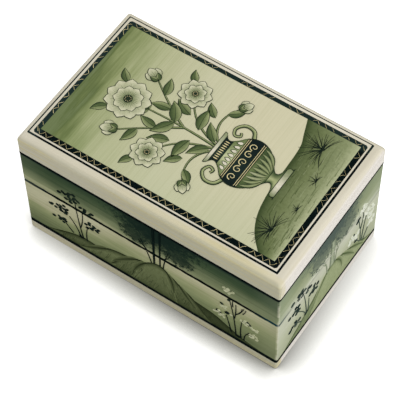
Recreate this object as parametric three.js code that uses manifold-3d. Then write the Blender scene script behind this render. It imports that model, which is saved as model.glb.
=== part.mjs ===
// A painted wooden keepsake box with a hinged lid, in millimetres, +Z up.
// X runs along the box, -Y is the front, +Y carries the hinges, and z = 0 is the underside.

import * as THREE from 'three';
import { mergeVertices } from 'three/addons/utils/BufferGeometryUtils.js';
import Module from 'manifold-3d';

const wasm = await Module();
wasm.setup();

// Driving dimensions of the box
const boxLength = 150;
const boxDepth = 93;
const wallThickness = 8;
const floorThickness = 5;
const baseWallHeight = 38.5;
const seamGap = 0.3;
const lidRailHeight = 24.2;
const lidBoardThickness = 12;

// Softened edges of the boards
const cornerRadius = 1.2;
const lidTopCornerRadius = 2.6;
const lidEdgeRadius = 3.2;
const floorEdgeRadius = 1.1;
const seamEase = 0.6;
const cornerSteps = 6;
const edgeSteps = 8;

// Felt laid on the floor inside
const liningThickness = 1;
const liningClearance = 0.5;

// Brass butt hinges let into the rear rims, with the barrels behind the box
const hingeSpacing = 84;
const hingeLength = 20;
const leafDepth = 6.5;
const leafThickness = 0.8;
const barrelRadius = 1.6;
const barrelSetOff = 0.3;
const knuckleLength = 6.4;
const knuckleGap = 0.2;
const pinRadius = 0.8;
const pinClearance = 0.1;
const pocketClearance = 0.3;
const barrelSides = 24;

// Countersunk brass screws, two in each leaf
const screwEndInset = 4;
const screwLength = 6;
const screwHeadRadius = 1.5;
const screwHeadDepth = 0.65;
const screwShankRadius = 0.8;
const screwTipLength = 1.4;
const screwTipRadius = 0.15;
const screwClearance = 0.15;
const screwSides = 16;

// Through cuts start this far outside the piece that they cut
const cutOverrun = 1;

// Heights and faces that follow from the driving dimensions
const halfLength = boxLength / 2;
const halfDepth = boxDepth / 2;
const innerHalfLength = halfLength - wallThickness;
const innerHalfDepth = halfDepth - wallThickness;
const baseRimZ = floorThickness + baseWallHeight;
const lidRimZ = baseRimZ + seamGap;
const lidBoardZ = lidRimZ + lidRailHeight;
const hingeAxisY = halfDepth + barrelSetOff + barrelRadius;
const hingeAxisZ = baseRimZ + seamGap / 2;
const leafMiddleY = halfDepth - leafDepth / 2;

// Finishes
const creamPaint = { color: 0xd8d2ba, roughness: 0.42, metalness: 0 };
const greenPaint = { color: 0x7d8a62, roughness: 0.42, metalness: 0 };
const brass = { color: 0xb08d4a, roughness: 0.35, metalness: 1 };
const felt = { color: 0x2e3a2c, roughness: 0.95, metalness: 0 };

const keepsakeBox = new THREE.Group();
const base = new THREE.Group();
const lid = new THREE.Group();
keepsakeBox.add(base, lid);

function addPiece(group, name, geometry, finish) {
  const piece = new THREE.Mesh(geometry, new THREE.MeshStandardMaterial(finish));
  piece.name = name;
  group.add(piece);
}

// Points of one rounded corner, centred on a point, from one angle over a quarter turn
function cornerArc(centreX, centreY, radius, startAngle) {
  const points = [];
  for (let step = 0; step <= cornerSteps; step += 1) {
    const angle = startAngle + (step / cornerSteps) * (Math.PI / 2);
    points.push([centreX + radius * Math.cos(angle), centreY + radius * Math.sin(angle)]);
  }
  return points;
}

// Rounded rectangle of the whole box, drawn in by an inset on every side
function boxOutline(inset, radius) {
  const x = halfLength - inset - radius;
  const y = halfDepth - inset - radius;
  return [
    ...cornerArc(-x, -y, radius, Math.PI),
    ...cornerArc(x, -y, radius, 1.5 * Math.PI),
    ...cornerArc(x, y, radius, 0),
    ...cornerArc(-x, y, radius, 0.5 * Math.PI),
  ];
}

// Front board over the full length, with its two outer corners rounded
function longBoardOutline(inset) {
  const x = halfLength - inset - cornerRadius;
  const y = halfDepth - inset - cornerRadius;
  return [
    ...cornerArc(-x, -y, cornerRadius, Math.PI),
    ...cornerArc(x, -y, cornerRadius, 1.5 * Math.PI),
    [halfLength - inset, -innerHalfDepth],
    [-halfLength + inset, -innerHalfDepth],
  ];
}

// Right end board, which fits between the long boards
function endBoardOutline(inset) {
  return [
    [innerHalfLength, -innerHalfDepth],
    [halfLength - inset, -innerHalfDepth],
    [halfLength - inset, innerHalfDepth],
    [innerHalfLength, innerHalfDepth],
  ];
}

function halfTurn(outline) {
  return outline.map(([x, y]) => [-x, -y]);
}

// Closed solid through convex outlines with equal numbers of points, from the lowest level up
function loft(levels) {
  const count = levels[0].outline.length;
  const positions = levels.flatMap(({ z, outline }) => outline.flatMap(([x, y]) => [x, y, z]));
  const indices = [];
  for (let level = 0; level + 1 < levels.length; level += 1) {
    for (let i = 0; i < count; i += 1) {
      const next = (i + 1) % count;
      const low = level * count;
      const high = low + count;
      indices.push(low + i, low + next, high + next);
      indices.push(low + i, high + next, high + i);
    }
  }
  const top = (levels.length - 1) * count;
  for (let i = 1; i + 1 < count; i += 1) {
    indices.push(0, i + 1, i);
    indices.push(top, top + i, top + i + 1);
  }
  const geometry = new THREE.BufferGeometry();
  geometry.setAttribute('position', new THREE.Float32BufferAttribute(positions, 3));
  geometry.setIndex(indices);
  return geometry;
}

// Inset and height along a quarter round, from the upright face to the flat face
function quarterRound(radius) {
  const points = [];
  for (let step = 0; step <= edgeSteps; step += 1) {
    const angle = (step / edgeSteps) * (Math.PI / 2);
    points.push({ inset: radius * (1 - Math.cos(angle)), rise: radius * Math.sin(angle) });
  }
  return points;
}

function toSolid(geometry) {
  const bare = geometry.clone();
  bare.deleteAttribute('normal');
  bare.deleteAttribute('uv');
  const merged = mergeVertices(bare);
  const mesh = new wasm.Mesh({
    numProp: 3,
    vertProperties: new Float32Array(merged.attributes.position.array),
    triVerts: new Uint32Array(merged.index.array),
  });
  return new wasm.Manifold(mesh);
}

function toGeometry(solid) {
  const mesh = solid.getMesh();
  const geometry = new THREE.BufferGeometry();
  geometry.setAttribute('position', new THREE.Float32BufferAttribute(mesh.vertProperties, 3));
  geometry.setIndex(Array.from(mesh.triVerts));
  return geometry;
}

// Block between two opposite corners
function block([x0, y0, z0], [x1, y1, z1]) {
  const geometry = new THREE.BoxGeometry(x1 - x0, y1 - y0, z1 - z0);
  return toSolid(geometry.translate((x0 + x1) / 2, (y0 + y1) / 2, (z0 + z1) / 2));
}

// Round bar along X on the hinge axis
function hingeBar(radius, startX, endX) {
  const bar = new THREE.CylinderGeometry(radius, radius, endX - startX, barrelSides);
  bar.rotateZ(Math.PI / 2);
  return bar.translate((startX + endX) / 2, hingeAxisY, hingeAxisZ);
}

// Screw shape on its own axis with the head at z = 0 and the tip below, grown all round
function screwShape(growth) {
  const shank = screwShankRadius + growth;
  const profile = [
    new THREE.Vector2(0, -screwLength - growth),
    new THREE.Vector2(screwTipRadius + growth, -screwLength - growth),
    new THREE.Vector2(shank, -screwLength + screwTipLength),
    new THREE.Vector2(shank, -screwHeadDepth),
    new THREE.Vector2(screwHeadRadius + growth, 0),
  ];
  if (growth > 0) {
    profile.push(new THREE.Vector2(screwHeadRadius + growth, cutOverrun));
    profile.push(new THREE.Vector2(0, cutOverrun));
  } else {
    profile.push(new THREE.Vector2(0, 0));
  }
  return new THREE.LatheGeometry(profile, screwSides).rotateX(Math.PI / 2);
}

// Places of the hinges and of the screws in them
const hinges = [
  { side: 'left', x: -hingeSpacing / 2 },
  { side: 'right', x: hingeSpacing / 2 },
];
const screwOffset = hingeLength / 2 - screwEndInset;
const screwPlaces = [
  { place: 'outer', offset: -screwOffset },
  { place: 'inner', offset: screwOffset },
];

// Rims that the leaves are let into: the base rim looks up and the lid rim looks down
const rims = {
  base: { group: base, z: baseRimZ, outward: 1 },
  lid: { group: lid, z: lidRimZ, outward: -1 },
};

// A screw, or the hole for one, driven into a rim
function screwAt(rim, x, growth) {
  const geometry = screwShape(growth);
  if (rim.outward < 0) {
    geometry.rotateX(Math.PI);
  }
  return geometry.translate(x, leafMiddleY, rim.z);
}

function leafScrews(hinge) {
  const toMiddle = hinge.x < 0 ? 1 : -1;
  return screwPlaces.map(({ place, offset }) => ({ place, x: hinge.x + toMiddle * offset }));
}

// Board with the pockets and pilot holes for its hinge leaves
function cutForHinges(geometry, rim) {
  let board = toSolid(geometry);
  for (const hinge of hinges) {
    const reach = hingeLength / 2 + pocketClearance;
    const pocketFloor = rim.z - rim.outward * leafThickness;
    const pocketMouth = rim.z + rim.outward * cutOverrun;
    board = board.subtract(block(
      [hinge.x - reach, halfDepth - leafDepth - pocketClearance, Math.min(pocketFloor, pocketMouth)],
      [hinge.x + reach, halfDepth + cutOverrun, Math.max(pocketFloor, pocketMouth)],
    ));
    for (const { x } of leafScrews(hinge)) {
      board = board.subtract(toSolid(screwAt(rim, x, screwClearance)));
    }
  }
  return toGeometry(board);
}

// Hinge leaf: a plate in the rim and the knuckles that it carries on the hinge axis
function hingeLeaf(rim, hinge, knuckles) {
  const farFace = rim.z - rim.outward * leafThickness;
  const lowZ = Math.min(rim.z, farFace);
  const highZ = Math.max(rim.z, farFace);
  let leaf = block(
    [hinge.x - hingeLength / 2, halfDepth - leafDepth, lowZ],
    [hinge.x + hingeLength / 2, halfDepth, highZ],
  );
  for (const [startX, endX] of knuckles) {
    leaf = leaf.add(block([startX, leafMiddleY, lowZ], [endX, hingeAxisY, highZ]));
    leaf = leaf.add(toSolid(hingeBar(barrelRadius, startX, endX)));
  }
  const boreStart = hinge.x - hingeLength / 2 - cutOverrun;
  const boreEnd = hinge.x + hingeLength / 2 + cutOverrun;
  leaf = leaf.subtract(toSolid(hingeBar(pinRadius + pinClearance, boreStart, boreEnd)));
  for (const { x } of leafScrews(hinge)) {
    leaf = leaf.subtract(toSolid(screwAt(rim, x, screwClearance)));
  }
  return toGeometry(leaf);
}

// Base: a floor board, four walls standing on it and a felt lining
const floorLevels = quarterRound(floorEdgeRadius).reverse().map(({ inset, rise }) => ({
  z: floorEdgeRadius - rise,
  outline: boxOutline(inset, cornerRadius),
}));
floorLevels.push({ z: floorThickness, outline: boxOutline(0, cornerRadius) });
addPiece(base, 'base_floor_board', loft(floorLevels), creamPaint);

function baseWall(outlineAt) {
  return loft([
    { z: floorThickness, outline: outlineAt(0) },
    { z: baseRimZ - seamEase, outline: outlineAt(0) },
    { z: baseRimZ, outline: outlineAt(seamEase) },
  ]);
}

const backBoardOutline = (inset) => halfTurn(longBoardOutline(inset));
const leftBoardOutline = (inset) => halfTurn(endBoardOutline(inset));
addPiece(base, 'base_front_wall', baseWall(longBoardOutline), greenPaint);
addPiece(base, 'base_back_wall', cutForHinges(baseWall(backBoardOutline), rims.base), greenPaint);
addPiece(base, 'base_right_wall', baseWall(endBoardOutline), greenPaint);
addPiece(base, 'base_left_wall', baseWall(leftBoardOutline), greenPaint);

const liningLength = 2 * (innerHalfLength - liningClearance);
const liningDepth = 2 * (innerHalfDepth - liningClearance);
const lining = new THREE.BoxGeometry(liningLength, liningDepth, liningThickness);
lining.translate(0, 0, floorThickness + liningThickness / 2);
addPiece(base, 'floor_lining', lining, felt);

// Lid: a thick top board with a rounded-over edge on four rails
function lidRail(outlineAt) {
  return loft([
    { z: lidRimZ, outline: outlineAt(seamEase) },
    { z: lidRimZ + seamEase, outline: outlineAt(0) },
    { z: lidBoardZ, outline: outlineAt(0) },
  ]);
}

addPiece(lid, 'lid_front_rail', lidRail(longBoardOutline), greenPaint);
addPiece(lid, 'lid_back_rail', cutForHinges(lidRail(backBoardOutline), rims.lid), greenPaint);
addPiece(lid, 'lid_right_rail', lidRail(endBoardOutline), greenPaint);
addPiece(lid, 'lid_left_rail', lidRail(leftBoardOutline), greenPaint);

const lidShoulderZ = lidBoardZ + lidBoardThickness - lidEdgeRadius;
const lidLevels = [{ z: lidBoardZ, outline: boxOutline(0, cornerRadius) }];
for (const { inset, rise } of quarterRound(lidEdgeRadius)) {
  const softening = (lidTopCornerRadius - cornerRadius) * (inset / lidEdgeRadius);
  lidLevels.push({ z: lidShoulderZ + rise, outline: boxOutline(inset, cornerRadius + softening) });
}
addPiece(lid, 'lid_top_board', loft(lidLevels), creamPaint);

// Hinges: the base leaf carries the two outer knuckles and the pin, the lid leaf the middle one
for (const hinge of hinges) {
  const middle = [hinge.x - knuckleLength / 2, hinge.x + knuckleLength / 2];
  const outer = [
    [hinge.x - hingeLength / 2, middle[0] - knuckleGap],
    [middle[1] + knuckleGap, hinge.x + hingeLength / 2],
  ];
  const name = `hinge_${hinge.side}`;
  addPiece(base, `${name}_base_leaf`, hingeLeaf(rims.base, hinge, outer), brass);
  addPiece(lid, `${name}_lid_leaf`, hingeLeaf(rims.lid, hinge, [middle]), brass);
  const pin = hingeBar(pinRadius, hinge.x - hingeLength / 2, hinge.x + hingeLength / 2);
  addPiece(base, `${name}_pin`, pin, brass);
  for (const [rimName, rim] of Object.entries(rims)) {
    for (const { place, x } of leafScrews(hinge)) {
      addPiece(rim.group, `${name}_${rimName}_screw_${place}`, screwAt(rim, x, 0), brass);
    }
  }
}

export default keepsakeBox;
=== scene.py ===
import math
import random

import bmesh
import bpy
from mathutils import Matrix, Vector


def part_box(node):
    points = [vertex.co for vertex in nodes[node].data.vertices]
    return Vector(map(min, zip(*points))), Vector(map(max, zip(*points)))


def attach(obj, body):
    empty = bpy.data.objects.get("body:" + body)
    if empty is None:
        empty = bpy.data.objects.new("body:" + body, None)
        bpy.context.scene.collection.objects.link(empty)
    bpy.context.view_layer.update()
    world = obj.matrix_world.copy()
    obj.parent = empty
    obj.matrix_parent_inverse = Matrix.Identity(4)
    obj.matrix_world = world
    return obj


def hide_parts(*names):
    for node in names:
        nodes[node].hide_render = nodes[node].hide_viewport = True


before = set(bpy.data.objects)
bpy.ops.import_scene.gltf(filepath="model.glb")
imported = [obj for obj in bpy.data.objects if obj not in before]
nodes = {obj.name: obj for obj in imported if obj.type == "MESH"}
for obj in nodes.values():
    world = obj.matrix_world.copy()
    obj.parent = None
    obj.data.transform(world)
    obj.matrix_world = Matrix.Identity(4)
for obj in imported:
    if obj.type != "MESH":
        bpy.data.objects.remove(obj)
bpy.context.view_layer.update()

# Floor board: one flat board under the whole box, with its lower edge rounded.
# It is glued and sanded flush with the walls, and its edge is brushed with cream paint,
# so that a pale band shows all round the foot.
MM = 0.001
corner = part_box("base_floor_board")[1]
HALF_LENGTH = corner.x / MM
HALF_DEPTH = corner.y / MM
BASE_RIM_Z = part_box("base_front_wall")[1].z / MM
CREAM = (216, 210, 190)
# The next two colours are painted light on the ends and painted shade on the long sides of the cream.
CREAM_PAINTED_LIGHT = (217, 212, 204)
CREAM_PAINTED_SHADE = (188, 185, 161)
CREAM_TAN = (198, 189, 146)
CREAM_GREY = (196, 190, 173)
CREAM_HAIRS = (214, 208, 192)
WOOD = (201, 168, 122)
WOOD_RING = (188, 152, 106)
WOOD_GRAIN = (160, 120, 78)
# Dark of the seam: ink run over the edges, together with painted shade for the gap between lid and base.
SEAM_INK_AND_SHADE = (2, 14, 12)
MATT = 0.0
LACQUER = 0.05
FOOT_STREAKS = [(1.5, 1.4), (3.6, 1.0)]
FLAT = 0.95


def linear(paint):
    """Scene colour of a paint given as it looks, in 0 to 255."""
    parts = [part / 255 for part in paint]
    return tuple(p / 12.92 if p <= 0.04045 else ((p + 0.055) / 1.055) ** 2.4 for p in parts) + (1.0,)


class Finish:
    """A material, or the world, whose nodes are wired as they are added.

    Places and sizes are in millimetres, and a colour of three numbers is a paint in 0 to 255.
    """

    def __init__(self, name, kind=bpy.data.materials, shader="Principled BSDF"):
        self.owner = kind.new(name)
        self.owner.use_nodes = True
        self.tree = self.owner.node_tree
        self.shader = self.tree.nodes[shader]

    def feed(self, socket, value):
        if isinstance(value, bpy.types.NodeSocket):
            self.tree.links.new(value, socket)
        else:
            is_paint = socket.type == "RGBA" and len(value) == 3
            socket.default_value = linear(value) if is_paint else value

    def add(self, kind, inputs=(), **settings):
        node = self.tree.nodes.new(kind)
        for key, value in settings.items():
            setattr(node, key, value)
        for key, value in dict(inputs).items():
            self.feed(node.inputs[key], value)
        return node

    def set(self, **inputs):
        for key, value in inputs.items():
            self.feed(self.shader.inputs[key.replace("_", " ")], value)

    def place(self):
        """Place on the box, along X, Y and Z."""
        where = self.add("ShaderNodeTexCoord").outputs["Object"]
        scaled = self.add("ShaderNodeVectorMath", {0: where, "Scale": 1 / MM}, operation="SCALE")
        return self.add("ShaderNodeSeparateXYZ", {"Vector": scaled.outputs["Vector"]}).outputs

    def noise(self, per_mm, detail=3.0, roughness=0.55):
        """Noise with so many features in a millimetre along X, Y and Z."""
        where = self.add("ShaderNodeTexCoord").outputs["Object"]
        stretch = tuple(count / MM for count in per_mm)
        where = self.add("ShaderNodeMapping", {"Vector": where, "Scale": stretch}).outputs["Vector"]
        settings = {"Vector": where, "Scale": 1.0, "Detail": detail, "Roughness": roughness}
        return self.add("ShaderNodeTexNoise", settings).outputs["Fac"]

    def span(self, value, low, high, to_low=0.0, to_high=1.0, kind="LINEAR"):
        """Value carried from one range to another, and held at its ends."""
        ends = {"Value": value, "From Min": low, "From Max": high, "To Min": to_low, "To Max": to_high}
        return self.add("ShaderNodeMapRange", ends, interpolation_type=kind).outputs["Result"]

    def math(self, operation, result, *values):
        """One value by itself, or several taken one after another."""
        for value in values or (0.0,):
            result = self.add("ShaderNodeMath", {0: result, 1: value}, operation=operation).outputs[0]
        return result

    def times(self, *values):
        return self.math("MULTIPLY", *values)

    def plus(self, *values):
        return self.math("ADD", *values)

    def gap(self, place, other=0.0):
        """How far one place is from another."""
        return self.math("ABSOLUTE", self.math("SUBTRACT", place, other))

    def mix(self, factor, first, second, blend="MIX"):
        colours = {0: factor, 6: first, 7: second}
        return self.add("ShaderNodeMix", colours, data_type="RGBA", blend_type=blend).outputs[2]

    def ramp(self, value, stops):
        """Colours along a value, as (place, colour) pairs."""
        node = self.add("ShaderNodeValToRGB", {"Fac": value})
        band = node.color_ramp
        while len(band.elements) < len(stops):
            band.elements.new(0.5)
        for element, (place, colour) in zip(band.elements, stops):
            element.position = place
            element.color = linear(colour)
        return node.outputs["Color"]

    def bump(self, height, depth, strength):
        settings = {"Height": height, "Distance": depth * MM, "Strength": strength}
        self.set(Normal=self.add("ShaderNodeBump", settings).outputs["Normal"])

    def coat(self, colour, grain, rough, relief, gloss=0.5):
        """Colour of a coat, with the range of roughness and the relief that its grain gives it."""
        roughness = self.span(grain, 0.3, 0.7, *rough)
        self.set(Base_Color=colour, Roughness=roughness, Specular_IOR_Level=gloss)
        self.bump(grain, *relief)


def cream_paint(name, gloss, streaks):
    """Cream paint laid on along the edges with a wide brush.

    It is darkened on the long sides with painted shade, more so towards one end, paled on the ends with
    painted light, and greyed with painted shade on the round at the right-hand end. The front has yellowed,
    and most in streaks, each given by its height and half width.
    """
    finish = Finish(name)
    x, y, z = finish.place()
    bands = finish.noise((0.006, 0.006, 0.4), detail=4.0)
    hairs = finish.noise((0.02, 0.02, 2.4))
    blotches = finish.noise((0.022, 0.03, 0.05), detail=4.0)
    on_end = finish.span(finish.gap(x), HALF_LENGTH - 0.9, HALF_LENGTH - 0.1)
    on_side = finish.span(finish.gap(y), HALF_DEPTH - 2.2, HALF_DEPTH - 0.6)
    by_front = finish.span(y, 3.5 - HALF_DEPTH, 5 - HALF_DEPTH, 1.0, 0.0)
    # Painted shade on the round of the cream at the right-hand end.
    right_round_shade = finish.span(x, HALF_LENGTH - 5.5, HALF_LENGTH - 4, 0.0, 0.45)
    lengthwise = finish.span(x, -0.9 * HALF_LENGTH, 0.3 * HALF_LENGTH)
    yellowed = finish.times(by_front, lengthwise, finish.span(blotches, 0.3, 0.6, 0.2, 0.75))
    # Painted shade on the long sides, heavier towards one end, and painted light on the ends.
    painted_side_shade = finish.times(on_side, finish.span(lengthwise, 0.0, 1.0, 0.5, 1.0))
    colour = finish.mix(finish.span(bands, 0.42, 0.62, 0.0, 0.5), CREAM, CREAM_GREY)
    layers = ((right_round_shade, CREAM_GREY), (on_end, CREAM_PAINTED_LIGHT), (yellowed, CREAM_TAN), (painted_side_shade, CREAM_PAINTED_SHADE))
    for share, paint in layers:
        colour = finish.mix(share, colour, paint)
    waver = finish.span(finish.noise((0.02, 0.02, 0.02)), 0.3, 0.7, -1.0, 1.0)
    patchy = finish.span(blotches, 0.35, 0.6, 0.15, 0.8)
    for height, half in streaks:
        away = finish.gap(finish.plus(z, waver), height)
        streak = finish.span(away, half, 0.1 * half, 0.0, 1.0, "SMOOTHSTEP")
        colour = finish.mix(finish.times(streak, patchy, by_front), colour, CREAM_TAN)
    colour = finish.mix(finish.span(hairs, 0.45, 0.75, 0.0, 0.3), colour, CREAM_HAIRS, "MULTIPLY")
    finish.coat(colour, hairs, (0.42, 0.6), (0.04, 0.4), gloss)
    return finish


def sealed_wood(name, lengthwise):
    """Pale close-grained wood, sealed, darkened at the outer edge of the rims by black paint and painted
    shade.
    """
    finish = Finish(name)
    x, y, z = finish.place()
    order = (0, 1, 2) if lengthwise else (1, 0, 2)
    rings = finish.noise([(0.02, 0.35, 0.35)[i] for i in order], detail=5.0, roughness=0.6)
    pores = finish.noise([(0.12, 3.0, 3.0)[i] for i in order], detail=2.0)
    colour = finish.ramp(rings, [(0.3, WOOD), (0.55, WOOD_RING), (0.7, WOOD_GRAIN)])
    colour = finish.mix(finish.span(pores, 0.58, 0.75, 0.0, 0.5), colour, WOOD_GRAIN)
    # Ink and painted shade for the gap along the outer edge of the rims.
    at_end = finish.span(finish.gap(x), HALF_LENGTH - 1.4, HALF_LENGTH - 0.8)
    at_side = finish.span(finish.gap(y), HALF_DEPTH - 1.4, HALF_DEPTH - 0.8)
    at_rim = finish.span(finish.gap(z, BASE_RIM_Z), 0.5, 0.8, 1.0, 0.0)
    rim_ink_and_shade = finish.times(finish.math("MAXIMUM", at_end, at_side), at_rim)
    colour = finish.mix(rim_ink_and_shade, colour, SEAM_INK_AND_SHADE)
    finish.coat(colour, pores, (0.5, 0.62), (0.04, 0.5))
    return finish


def dress(names, finishes, choose=lambda polygon: 0):
    """Finishes on solids, one of them chosen for each face."""
    for name in names:
        data = nodes[name].data
        data.materials.clear()
        for finish in finishes:
            data.materials.append(finish.owner)
        for polygon in data.polygons:
            polygon.material_index = choose(polygon)


def underside(polygon):
    return 1 if polygon.normal.z < -FLAT else 0


cream_foot = cream_paint("cream_foot_paint", MATT, FOOT_STREAKS)
wood = sealed_wood("sealed_wood", lengthwise=True)
dress(["base_floor_board"], [cream_foot, wood], underside)


# Base walls: four boards glued edge to edge on the floor board, the short ones between the long ones.
# Outside they carry a brushed landscape ground, pale sky going green towards the foot and the corners,
# and inside and on the rim the wood is only sealed.
FOOT_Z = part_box("base_front_wall")[0].z / MM
OUTER_SKIN = 1.5
CORNER_REACH = 18
SEAM_EDGE = (0.75, 1.2)
SEAM_DARK_END = 14
SEAM_BLUE = (34, 78, 84)
BLUE_REACH = 16
GROUND_HAIRS = (200, 204, 184)
LONG_SKY = [(0.0, (92, 106, 76)), (0.2, (112, 122, 86)), (0.5, (138, 147, 106)), (0.7, (158, 164, 121)),
            (0.88, (188, 186, 150)), (1.0, (204, 201, 168))]
END_SKY = [(0.0, (150, 158, 126)), (0.3, (166, 171, 142)), (0.65, (180, 184, 157)), (1.0, (194, 196, 178))]


def blend(first, second, share):
    return tuple(a + (b - a) * share for a, b in zip(first, second))


def ground_paint(name, lengthwise, heights, stops, lean, corner, seam, crown=None):
    """Landscape ground on the two outer faces that run one way, brushed along them and shaded by height.

    heights are the lowest and highest Z and stops the colours between them. lean is how far these shift
    at one end, and how near to and far from the seam. corner is the colour towards both ends and its share
    at each, and seam the Z of the joint and how strongly it is darkened there, with ink and with painted
    shade for the gap. crown is the soft foliage in the middle: its outer and inner tint, the lobe that
    takes the inner tint, and the other lobes, each a place along, a height, a half length and a half
    height.
    """
    finish = Finish(name)
    x, y, z = finish.place()
    along, half = (x, HALF_LENGTH) if lengthwise else (y, HALF_DEPTH)
    from_middle = finish.gap(along)
    from_seam = finish.gap(z, seam[0])
    streaks = finish.noise((0.012, 0.012, 0.55), detail=4.0)
    clouds = finish.noise((0.035, 0.035, 0.07))
    hairs = finish.noise((0.03, 0.03, 1.6))
    ragged = finish.noise((0.2, 0.2, 0.2), detail=4.0)
    shift = finish.times(finish.span(along, -half, -0.25 * half, lean[0], 0.0),
                         finish.span(from_seam, lean[1], lean[2], 1.0, 0.0))
    height = finish.plus(finish.span(z, *heights), finish.span(streaks, 0.3, 0.7, -0.07, 0.07),
                         finish.span(clouds, 0.3, 0.7, -0.08, 0.08), shift)
    colour = finish.ramp(height, stops)
    colour = finish.mix(finish.span(hairs, 0.4, 0.75, 0.0, 0.4), colour, GROUND_HAIRS, "MULTIPLY")
    end = finish.times(finish.span(from_middle, half - CORNER_REACH, half, 0.0, 1.0, "SMOOTHSTEP"),
                       finish.span(along, -1, 1, *corner[1:]))
    colour = finish.mix(end, colour, corner[0])
    if crown:
        outer, inner, *lobes = crown
        reaches = []
        for middle, level, wide, tall in lobes:
            sideways = finish.math("DIVIDE", finish.math("SUBTRACT", along, middle), wide)
            upward = finish.math("DIVIDE", finish.math("SUBTRACT", z, level), tall)
            squares = [finish.times(way, way) for way in (sideways, upward)]
            reaches.append(finish.math("SQRT", finish.plus(*squares)))
        leaves = finish.noise((0.4, 0.4, 0.5), detail=6.0, roughness=0.75)
        frayed = finish.span(leaves, 0.3, 0.7, -0.4, 0.4)
        sunlit = blend(outer, stops[2][1], 0.5)
        foliage = finish.mix(finish.span(leaves, 0.45, 0.7, 0.0, 0.5), outer, sunlit)
        rim = finish.plus(finish.math("MINIMUM", *reaches), frayed)
        colour = finish.mix(finish.span(rim, 1.3, 0.6, 0.0, 0.9, "SMOOTHSTEP"), colour, foliage)
        heart = finish.plus(reaches[0], frayed)
        colour = finish.mix(finish.span(heart, 1.2, 0.4, 0.0, 0.9, "SMOOTHSTEP"), colour, inner)
    # The seam is darkened with ink and with painted shade for the gap.
    edge = finish.plus(from_seam, finish.span(ragged, 0.3, 0.7, -0.3, 0.3))
    seam_darkened = finish.times(finish.span(edge, *SEAM_EDGE, 1.0, 0.0),
                         finish.span(along, -half, SEAM_DARK_END - half, 0.9, seam[1]))
    blue = finish.times(finish.span(from_middle, half - BLUE_REACH, half - 1, 0.0, 0.8),
                        finish.span(clouds, 0.35, 0.6))
    colour = finish.mix(seam_darkened, colour, finish.mix(blue, SEAM_INK_AND_SHADE, SEAM_BLUE))
    worn = finish.times(finish.span(from_middle, half - 1.3, half - 0.4, 0.0, 0.5),
                        finish.span(ragged, 0.42, 0.6))
    colour = finish.mix(worn, colour, CREAM)
    roughness = finish.span(streaks, 0.3, 0.7, 0.5, 0.65)
    finish.set(Base_Color=colour, Roughness=roughness, Specular_IOR_Level=MATT)
    finish.bump(hairs, 0.03, 0.35)
    return finish


def outside(polygon):
    """1 for a face that shows on a long side, 2 for one on an end, and 0 for the rest."""
    middle, facing = polygon.center, polygon.normal
    outer_x = abs(middle.x) > (HALF_LENGTH - OUTER_SKIN) * MM
    outer_y = abs(middle.y) > (HALF_DEPTH - OUTER_SKIN) * MM
    if not (outer_x or outer_y) or abs(facing.z) >= FLAT:
        return 0
    return 2 if abs(facing.x) > abs(facing.y) else 1


base_heights = (FOOT_Z, BASE_RIM_Z)
base_long = ground_paint("base_long_ground", True, base_heights, LONG_SKY, lean=(0.32, 14, 32),
                         corner=((146, 152, 118), 0.1, 0.4), seam=(BASE_RIM_Z, 1.0))
base_end = ground_paint("base_end_ground", False, base_heights, END_SKY, lean=(0.2, 14, 36),
                        corner=((184, 188, 164), 0.5, 0.5), seam=(BASE_RIM_Z, 0.25))
cross_wood = sealed_wood("sealed_cross_wood", lengthwise=False)
dress(["base_front_wall", "base_back_wall"], [wood, base_long, base_end], outside)
dress(["base_right_wall", "base_left_wall"], [cross_wood, base_long, base_end], outside)


# Foot line: one black line all round, drawn with a full brush a little above the foot of the walls.
# It is a thin raised coat of paint, and under it the cream of the foot covers the glued joint.
FOOT_LINE = (FOOT_Z + 1.3, FOOT_Z + 4.2)
FOOT_EDGE = (FOOT_Z - 0.5, FOOT_Z + 1.3)
CORNER_RADIUS = 1.2
CORNER_STEPS = 6
LINE_LIFT = 0.05
SINK = -0.04
INK = (9, 18, 18)
INK_THIN = (30, 44, 42)
INK_BACK = (28, 42, 39)
INK_LEFT = (32, 46, 44)


def slab(deep, wide, start=0, loop=False):
    """Faces of a thin closed solid, from rows of points for its upper skin and as many for its lower."""
    under = wide * deep
    faces = []
    for r in range(deep if loop else deep - 1):
        near, far = start + r * wide, start + (r + 1) % deep * wide
        for c in range(wide - 1):
            faces.append((near + c, near + c + 1, far + c + 1, far + c))
            faces.append((near + c + under, far + c + under, far + c + 1 + under, near + c + 1 + under))
        for c in (0, wide - 1):
            faces.append((near + c, far + c, far + c + under, near + c + under))
    if not loop:
        for near in (start, start + (deep - 1) * wide):
            for c in range(wide - 1):
                faces.append((near + c, near + c + 1, near + c + 1 + under, near + c + under))
    return faces


def add_piece(name, points, faces, finish, body):
    """A piece that rides on a body, from its points in millimetres and its faces."""
    mesh = bpy.data.meshes.new(name)
    mesh.from_pydata([Vector(point) * MM for point in points], [], faces)
    shell = bmesh.new()
    shell.from_mesh(mesh)
    bmesh.ops.recalc_face_normals(shell, faces=shell.faces)
    shell.to_mesh(mesh)
    shell.free()
    mesh.materials.append(finish.owner)
    piece = bpy.data.objects.new(name, mesh)
    bpy.context.collection.objects.link(piece)
    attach(piece, body)
    return piece


def girdle(name, body, heights, finish, thinner=0.0):
    """A painted line round all four sides, between two heights, and thinner on the ends.

    thinner is how much lower its upper edge lies there, or, below 0, how much higher its lower edge.
    """
    points = []
    for lift in (LINE_LIFT, SINK):
        for quarter, (sx, sy) in enumerate(((1, 1), (-1, 1), (-1, -1), (1, -1))):
            for step in range(CORNER_STEPS + 1):
                angle = math.radians(90 * (quarter + step / CORNER_STEPS))
                cos, sin = math.cos(angle), math.sin(angle)
                x = sx * (HALF_LENGTH - CORNER_RADIUS) + cos * (CORNER_RADIUS + lift)
                y = sy * (HALF_DEPTH - CORNER_RADIUS) + sin * (CORNER_RADIUS + lift)
                less = thinner * cos * cos
                points += [(x, y, heights[0] - min(less, 0)), (x, y, heights[1] - max(less, 0))]
    add_piece(name, points, slab(len(points) // 4, 2, loop=True), finish, body)


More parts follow.
